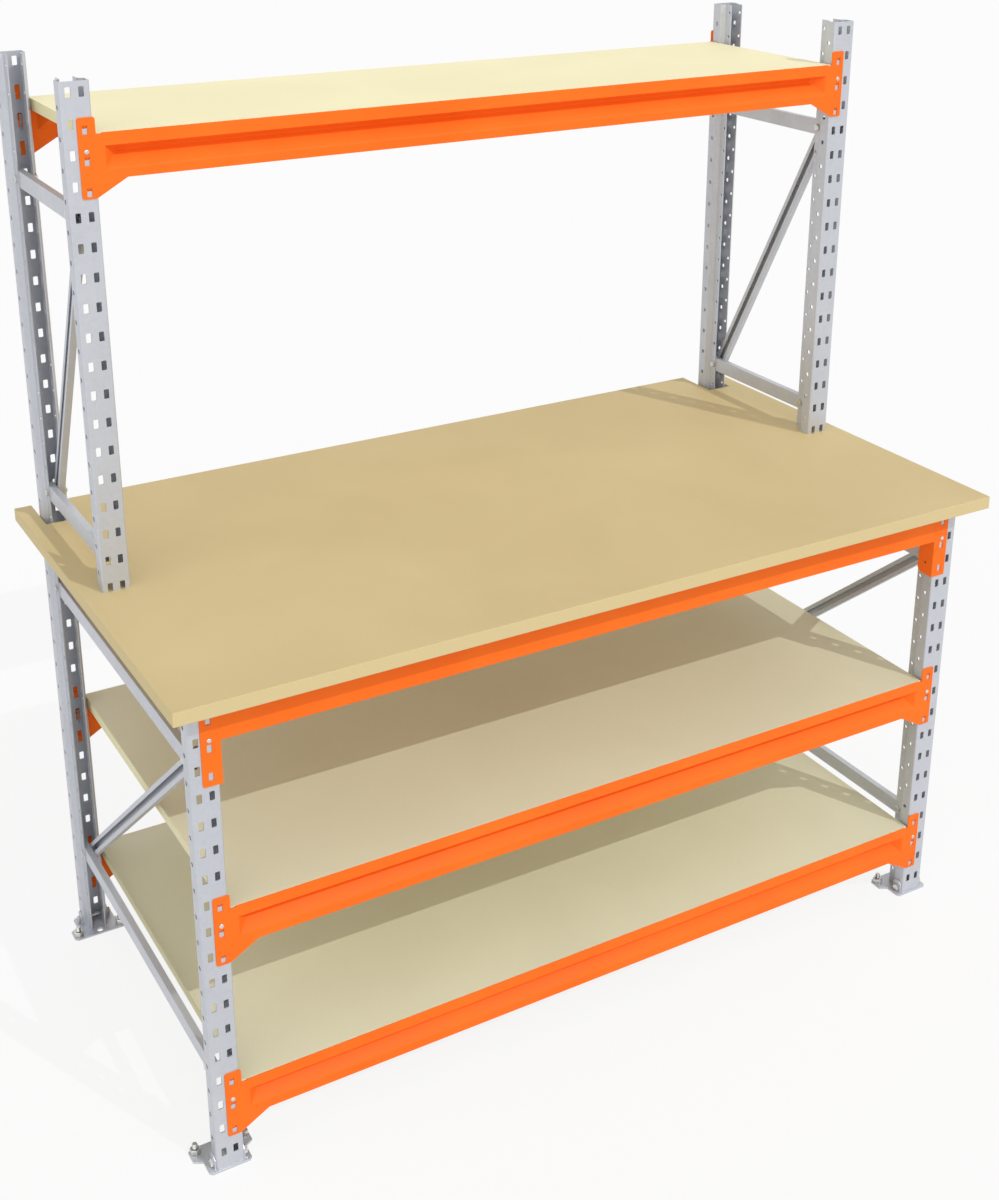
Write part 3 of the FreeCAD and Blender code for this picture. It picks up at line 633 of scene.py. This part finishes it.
def bevelled(bm, node, width_of, widest, steps):
    """Round each edge by its own width, and give a mesh of triangles without empty ones."""
    weight = bm.edges.layers.float.new("bevel_weight_edge")
    for edge in bm.edges:
        edge[weight] = width_of(edge) / widest
    mesh = settle(mesh_of(bm, node), "BEVEL", width=widest, segments=steps, limit_method="WEIGHT",
                  use_clamp_overlap=False, miter_outer="MITER_ARC")
    bm = bmesh.new()
    bm.from_mesh(mesh)
    bmesh.ops.triangulate(bm, faces=bm.faces, quad_method="BEAUTY", ngon_method="BEAUTY")
    bmesh.ops.dissolve_degenerate(bm, dist=SLIVER, edges=bm.edges)
    bm.to_mesh(mesh)
    bm.free()
    return mesh


print("largest construction piece:", max(NODES, key=lambda node: len(NODES[node].data.polygons)))

# %% Braces and feet
CLEAR_ANGLE = math.radians(15)
BROKEN = 0.5 * MM


def is_sharp(edge):
    """Tell whether two faces meet at an edge with a clear angle."""
    return len(edge.link_faces) == 2 and edge.calc_face_angle() > CLEAR_ANGLE


def broken_copy(bm, node, name, material, slot, width, steps, shortest=0.0):
    """Finish a copy whose edges are all broken by the same width, apart from short ones."""
    def width_of(edge):
        return width if is_sharp(edge) and edge.calc_length() > shortest else 0.0

    mesh = smooth(bevelled(bm, node, width_of, width, steps))
    return finish_piece(name, keep_flats_flat(mesh), material, slot, node)


def copy_sheet(nodes, prefix, shortest):
    """Finish pieces of galvanised sheet."""
    for node in nodes:
        broken_copy(flat_copy(node), node, f"{prefix}_{node}", steel, "galvanised_steel",
                    BROKEN, steps=2, shortest=shortest)


braces = [node for node in sorted(NODES) if node.endswith(("strut", "diagonal"))]
feet = [node for node in sorted(NODES)
        if node.startswith("foot_") and node.endswith(("left", "right"))]
copy_sheet(braces, "folded", shortest=4 * MM)
copy_sheet(feet, "pressed", shortest=3 * MM)
print(len(braces), "braces and", len(feet), "feet")

# %% [markdown]
# ## Beams and connectors
# A shelf beam is one painted sheet with a recess pressed along its face, and a plate with rounded
# corners at each end. A pressed fold is much rounder than a cut edge, and the fold at the foot of
# the recess hardly turns the sheet, so it is the softest. One bevel for all edges would miss that,
# so each edge gets a weight of its own. The short slanted ends of the recess, its hips, stay flat.

# %% Edges of a beam
PRESSED_FOLD, SOFT_FOLD = 2.5 * MM, 7 * MM
SHORT_FOLD, LONG_FOLD = 12 * MM, 500 * MM
FAINT_ANGLE = math.radians(40)
LEAST_SLANT, MOST_SLANT, HIP_SLANT = 0.15, 0.97, 0.25
SHORTEST_PAINTED = 4 * MM


def is_slanted(face):
    """Tell whether a face leans back, as those of a recess do."""
    return LEAST_SLANT < abs(face.normal.y) < MOST_SLANT


def is_hip(face):
    """Tell whether a face belongs to the short slanted ends of a recess."""
    return is_slanted(face) and abs(face.normal.x) > HIP_SLANT


def painted_width(edge):
    """Give how wide an edge of a painted piece is rounded."""
    length = edge.calc_length()
    if not is_sharp(edge) or length <= SHORTEST_PAINTED:
        return 0.0
    if length > LONG_FOLD and edge.calc_face_angle() < FAINT_ANGLE:
        return SOFT_FOLD
    if length < SHORT_FOLD and any(is_hip(face) for face in edge.link_faces):
        return 0.0
    if length > SHORT_FOLD and any(is_slanted(face) for face in edge.link_faces):
        return PRESSED_FOLD
    return BROKEN


print(f"painted edges are rounded by {BROKEN / MM} to {SOFT_FOLD / MM:.0f} mm")

# %% Beams and connectors
PLATE_RADIUS, PLATE_STEPS = 4 * MM, 3
PLATE_WALL = 3 * MM
ALONG = 0.99


def round_plate_corners(bm):
    """Round the outline of the end plates, where its corners point outwards."""
    corners = []
    for edge in bm.edges:
        if is_sharp(edge) and edge.is_convex and edge.calc_length() < PLATE_WALL:
            direction = (edge.verts[0].co - edge.verts[1].co).normalized()
            room = 3 * PLATE_RADIUS * edge.calc_length()
            if abs(direction.y) > ALONG and all(f.calc_area() > room for f in edge.link_faces):
                corners.append(edge)
    bmesh.ops.bevel(bm, geom=corners, offset=PLATE_RADIUS, segments=PLATE_STEPS, profile=0.5,
                    affect="EDGES", clamp_overlap=False)
    return len(corners)


for node in sorted(NODES):
    if node.endswith("beam") or node.startswith("worktop_connector"):
        copy = flat_copy(node)
        print(node, "has", round_plate_corners(copy), "rounded corners")
        mesh = smooth(bevelled(copy, node, painted_width, SOFT_FOLD, steps=3))
        for face in mesh.polygons:
            if is_hip(face):
                face.use_smooth = False
        finish_piece(f"painted_{node}", keep_flats_flat(mesh), paint, "orange_paint", node)

# %% [markdown]
# ## Boards
# The worktop and the shelves are sawn, and their edges are only broken by hand. They are copied in
# the same way as the braces. The shelf boards lie level with the lip of their front beam and a hair
# above that of the rear one, so the rear edge of the copy is lifted a little.

# %% Worktop and shelves
BOARD_PROUD, NEAR_TOP, NEAR_BACK = 1.8 * MM, MM, 5 * MM


def lift_rear_edge(bm):
    """Lift the upper corners at the back of a board."""
    top = max(corner.co.z for corner in bm.verts)
    back = max(corner.co.y for corner in bm.verts)
    for corner in bm.verts:
        if corner.co.z > top - NEAR_TOP and corner.co.y > back - NEAR_BACK:
            corner.co.z += BOARD_PROUD


for node in ("lowest_board", "middle_board", "top_board"):
    copy = flat_copy(node)
    lift_rear_edge(copy)
    # The two lower shelves take the darker copy, whose faces carry painted shade.
    finish = top_shelf_finish if node == "top_board" else shade_darkened_shelf_finish
    board = broken_copy(copy, node, f"sawn_{node}", finish, "shelf_board", 0.8 * MM, steps=2)
    print(board.name, len(board.data.polygons), "faces")
board = broken_copy(flat_copy("worktop"), "worktop", "sawn_worktop", worktop_finish,
                    "worktop_board", 1.2 * MM, steps=3)
print(board.name, len(board.data.polygons), "faces")

# %% [markdown]
# ## Bolts, nuts, anchors and pins
# A few dozen zinc plated fasteners hold the table together, of seven kinds. Each could be modelled
# in its place, but then a better shape would have to be made many times. So one of each kind is
# built up from rings of points along its axis, in millimetres, and set wherever the construction
# model has one.

# %% Rings and bars
X, Y, Z = 0, 1, 2


def add_rings(bm, axis, sides, rings, bored=False):
    """Join rings, given by radius and height along an axis, into a solid or a bored solid."""
    order = {X: (2, 0, 1), Y: (0, 2, 1), Z: (0, 1, 2)}[axis]
    loops = []
    for radius, height in rings:
        loop = []
        for step in range(sides):
            angle = 2 * math.pi * (step + 0.5) / sides
            spot = (radius * math.cos(angle) * MM, radius * math.sin(angle) * MM, height * MM)
            loop.append(bm.verts.new([spot[index] for index in order]))
        loops.append(loop)
    for lower, upper in zip(loops, loops[1:] + (loops[:1] if bored else [])):
        for step in range(sides):
            after = (step + 1) % sides
            bm.faces.new((lower[step], lower[after], upper[after], upper[step]))
    if not bored:
        bm.faces.new(loops[0])
        bm.faces.new(loops[-1])


def add_bar(bm, low, high):
    """Add a square bar between two corners."""
    size = Vector(high) - Vector(low)
    middle = (Vector(high) + Vector(low)) / 2
    place = Matrix.Translation(middle * MM) @ Matrix.Diagonal((*(size * MM), 1))
    bmesh.ops.create_cube(bm, size=1.0, matrix=place)


print("fasteners are built from", add_rings.__name__, "and", add_bar.__name__)

# %% Bolts and nuts
HEXAGON, ROUND = 6, 12
ACROSS_FLATS = 13


def to_corner(across):
    """Give a hexagon's radius at its corners from its width across flats."""
    return across / math.sqrt(3)


def bolt_shape(head, radius, length):
    """Make a bolt along X: a chamfered hexagon head and a shank with a broken end."""
    bm = bmesh.new()
    corner = to_corner(ACROSS_FLATS)
    add_rings(bm, X, HEXAGON, [(corner - 1.1, 0), (corner - 0.1, 0.9), (corner, head)])
    add_rings(bm, X, ROUND, [(radius, head), (radius, length - 0.8), (radius - 0.7, length)])
    return bm


def nut_shape(height, radius):
    """Make a nut along X: a bored hexagon, chamfered at its outer end."""
    bm = bmesh.new()
    corner, bore = to_corner(ACROSS_FLATS), (radius + 0.1) / math.cos(math.pi / 6)
    add_rings(bm, X, HEXAGON, [
        (bore, 0), (corner, 0), (corner - 0.1, height - 0.9), (corner - 1.1, height),
        (bore, height)], bored=True)
    return bm


print(f"bolts and nuts are {2 * to_corner(ACROSS_FLATS):.1f} mm over their corners")

# %% Anchors and washers
STUD, THREAD_ROOT, THREAD_START, THREAD_STEP, THREAD_RINGS = 4.95, 4.35, 14.6, 0.75, 12
ANCHOR_NUT, NUT_LOW, NUT_HIGH, NUT_BORE = 17, 5.3, 14.2, 5.9
WASHER_BORE, WASHER_RIM, WASHER_THICK, WASHER_SIDES = 5.4, 9.8, 1.6, 20


def anchor_shape():
    """Make an anchor along Z: a stud with a thread above its chamfered nut."""
    bm = bmesh.new()
    thread = [(STUD if step % 2 else THREAD_ROOT, THREAD_START + THREAD_STEP * step)
              for step in range(THREAD_RINGS)]
    add_rings(bm, Z, ROUND, [
        (STUD, 0), (STUD, 5.2), (THREAD_ROOT, NUT_HIGH), *thread, (3.9, 24.2)])
    corner = to_corner(ANCHOR_NUT)
    add_rings(bm, Z, HEXAGON, [
        (NUT_BORE, NUT_LOW), (corner - 0.8, NUT_LOW), (corner, 6.1), (corner, 13.2),
        (corner - 1.2, NUT_HIGH), (NUT_BORE, NUT_HIGH)], bored=True)
    return bm


def washer_shape():
    """Make a round washer along Z."""
    bm = bmesh.new()
    add_rings(bm, Z, WASHER_SIDES, [
        (WASHER_BORE, 0), (WASHER_RIM, 0), (WASHER_RIM + 0.2, 0.5), (WASHER_RIM, WASHER_THICK),
        (WASHER_BORE, WASHER_THICK)], bored=True)
    return bm


print(f"an anchor shows {THREAD_RINGS // 2} turns of its thread")

# %% Lock pins
HEAD_THICK, SHANK_HALF, TAIL_HALF, TAIL_BOTTOM = 2.0, 1.7, 2.0, -26.2


def pin_shape():
    """Make a lock pin along Y: a domed head, a square shank and a tail behind the post's web."""
    bm = bmesh.new()
    add_rings(bm, Y, ROUND, [(2.4, 0), (3.5, 0.3), (4.2, 0.9), (4.35, 1.5), (4.35, HEAD_THICK)])
    add_bar(bm, (-SHANK_HALF, HEAD_THICK, -SHANK_HALF), (SHANK_HALF, 9.2, SHANK_HALF))
    add_bar(bm, (-TAIL_HALF, 9.0, TAIL_BOTTOM), (TAIL_HALF, 10.5, 1.8))
    return bm


print(f"a lock pin's tail hangs {-TAIL_BOTTOM} mm below its head's middle")

# %% [markdown]
# A second tree takes the points of its host mesh as places. Each point carries an attribute, the
# turn about the vertical, because the pins of the rear beams point the other way.

# %% Geometry tree that sets a shape in its places
set_tree, set_keys, given, result = new_tree("set_in_places", {
    "Shape": "NodeSocketObject", "Finish": "NodeSocketMaterial"})
shape = add_node(set_tree, "GeometryNodeObjectInfo", {"Object": given["Shape"]})
turn = add_node(set_tree, "GeometryNodeInputNamedAttribute", {"Name": "turn"}, data_type="FLOAT")
about_up = add_node(set_tree, "ShaderNodeCombineXYZ", {"Z": turn.outputs["Attribute"]})
turned = add_node(set_tree, "FunctionNodeEulerToRotation", {"Euler": about_up.outputs[0]})
copies = add_node(set_tree, "GeometryNodeInstanceOnPoints", {
    "Points": given["Geometry"], "Instance": shape.outputs["Geometry"],
    "Rotation": turned.outputs[0]})
real = add_node(set_tree, "GeometryNodeRealizeInstances", {"Geometry": copies.outputs[0]})
dressed = add_node(set_tree, "GeometryNodeSetMaterial", {
    "Geometry": real.outputs[0], "Material": given["Finish"]})
set_inputs(set_tree, result, {0: dressed.outputs[0]})
print("geometry tree:", set_tree.name, "with", list(set_keys))

# %% [markdown]
# The places could be typed in, but the construction model already has them. Each separate solid of
# a fastener piece starts with a flat end, and the middle of that end is where the new one starts.

# %% Places of the fasteners
FLAT_END = 0.05 * MM


def separate_solids(bm):
    """Give the points of each separate solid."""
    left = set(bm.verts)
    for start in bm.verts:
        if start not in left:
            continue
        left.remove(start)
        to_visit, solid = [start], []
        while to_visit:
            here = to_visit.pop()
            solid.append(here.co.copy())
            joined_to = [edge.other_vert(here) for edge in here.link_edges]
            near = [corner for corner in joined_to if corner in left]
            left.difference_update(near)
            to_visit += near
        yield solid


def start_of(solid, axis, back):
    """Give the middle of a solid's flat end, the low one or, from the back, the high one."""
    heights = [point[axis] for point in solid]
    end = max(heights) if back else min(heights)
    flat = [point for point in solid if abs(point[axis] - end) < FLAT_END]
    return sum(flat, Vector()) / len(flat)


pins = flat_copy("lock_pins")
print("lock pins found:", len(list(separate_solids(pins))))
pins.free()

# %% Fasteners in their places
BEHIND = 100 * MM
BOLT_END = 1.5


def set_fasteners(node, bm, axis, turn_at_back=False):
    """Set one fastener shape in every place of a construction piece."""
    bmesh.ops.recalc_face_normals(bm, faces=bm.faces)
    master = put_in_scene(bpy.data.objects.new(node, smooth(mesh_of(bm, node))))
    copy, places = flat_copy(node), []
    for solid in separate_solids(copy):
        back = turn_at_back and solid[0].y > BEHIND
        places.append((*start_of(solid, axis, back), math.pi if back else 0.0))
    copy.free()
    places.sort()
    host = bpy.data.meshes.new("places")
    host.from_pydata([place[:3] for place in places], [], [])
    turns = host.attributes.new("turn", "FLOAT", "POINT")
    turns.data.foreach_set("value", [place[3] for place in places])
    mesh = grow(set_tree, set_keys, host, {"Shape": master, "Finish": zinc})
    bpy.data.objects.remove(master)
    piece = finish_piece(f"plated_{node}", mesh, zinc, "zinc_fasteners", node)
    print(piece.name, len(places), "set,", len(mesh.polygons), "faces")


set_fasteners("brace_bolts", bolt_shape(head=5, radius=3, length=40 + BOLT_END), X)
set_fasteners("brace_nuts", nut_shape(height=5, radius=3), X)
set_fasteners("foot_bolts", bolt_shape(head=5.3, radius=4, length=67.8 + BOLT_END), X)
set_fasteners("foot_nuts", nut_shape(height=6.5, radius=4), X)
set_fasteners("anchor_bolts", anchor_shape(), Z)
set_fasteners("anchor_washers", washer_shape(), Z)
set_fasteners("lock_pins", pin_shape(), Y, turn_at_back=True)

# %% [markdown]
# ## Floor and light
# The studio is a pale floor under a white sky. A floor that is lit until it is white would need
# more light than the table can take. So what the camera and the shiny steel see of it is mixed with
# plain white instead, and it stays pale but keeps the shadow of the table.

# %% Floor
FLOOR_REACH = 30.0
FLOOR_GREY = (0.80, 0.80, 0.80, 1)
WHITE, WHITE_SHARE = (1, 1, 1, 1), 0.85
FLOOR_CORNERS = [(-1, -1), (1, -1), (1, 1), (-1, 1)]
floor_mesh = bpy.data.meshes.new("floor")
floor_mesh.from_pydata([(x * FLOOR_REACH, y * FLOOR_REACH, 0) for x, y in FLOOR_CORNERS], [],
                       [(0, 1, 2, 3)])
floor = put_in_scene(bpy.data.objects.new("floor", floor_mesh))


def seen_directly(tree):
    """Give a mask of the rays from the camera, a shiny surface or a clear one."""
    path = add_node(tree, "ShaderNodeLightPath").outputs
    shiny = maths(tree, "MAXIMUM", path["Is Camera Ray"], path["Is Glossy Ray"])
    return maths(tree, "MAXIMUM", shiny, path["Is Transmission Ray"])


floor_finish = bpy.data.materials.new("pale_floor")
floor_finish.use_nodes = True
tree = floor_finish.node_tree
matt = tree.nodes["Principled BSDF"]
set_inputs(tree, matt, {"Base Color": FLOOR_GREY, "Roughness": 0.9, "Specular IOR Level": 0.0})
white = add_node(tree, "ShaderNodeEmission", {"Color": WHITE, "Strength": 1.0})
share = maths(tree, "MULTIPLY", seen_directly(tree), WHITE_SHARE)
both = add_node(tree, "ShaderNodeMixShader", {0: share, 1: matt.outputs[0], 2: white.outputs[0]})
set_inputs(tree, tree.nodes["Material Output"], {"Surface": both.outputs[0]})
floor_mesh.materials.append(floor_finish)
print("floor:", floor_finish.name)

# %% [markdown]
# The light comes from three sides. A small distant lamp at the front right gives the posts their
# crisp shadows, and the sky and a wide, low lamp at the front left fill them. The sky lights the
# table less than it shows, for the same reason as the floor.

# %% Sky and lamps
SKY_LIGHT, SKY_SEEN = 0.645, 1.0
world = bpy.data.worlds.new("studio")
world.use_nodes = True
bpy.context.scene.world = world
tree = world.node_tree
set_inputs(tree, tree.nodes["Background"], {
    "Color": WHITE, "Strength": spread(tree, seen_directly(tree), 0.0, 1.0, SKY_LIGHT, SKY_SEEN)})


def add_lamp(name, energy, wide, travel):
    """Add a distant lamp that shines along a direction, as wide in the sky as an angle says."""
    data = bpy.data.lights.new(name, "SUN")
    data.energy = energy
    data.angle = math.radians(wide)
    lamp = put_in_scene(bpy.data.objects.new(name, data))
    lamp.rotation_euler = Vector(travel).to_track_quat("-Z", "Y").to_euler()
    print("lamp:", lamp.name)


add_lamp("key", energy=1.1, wide=0.35, travel=(-0.285, 0.66, -0.69))
add_lamp("fill", energy=0.9, wide=90.0, travel=(0.55, 0.72, -0.42))
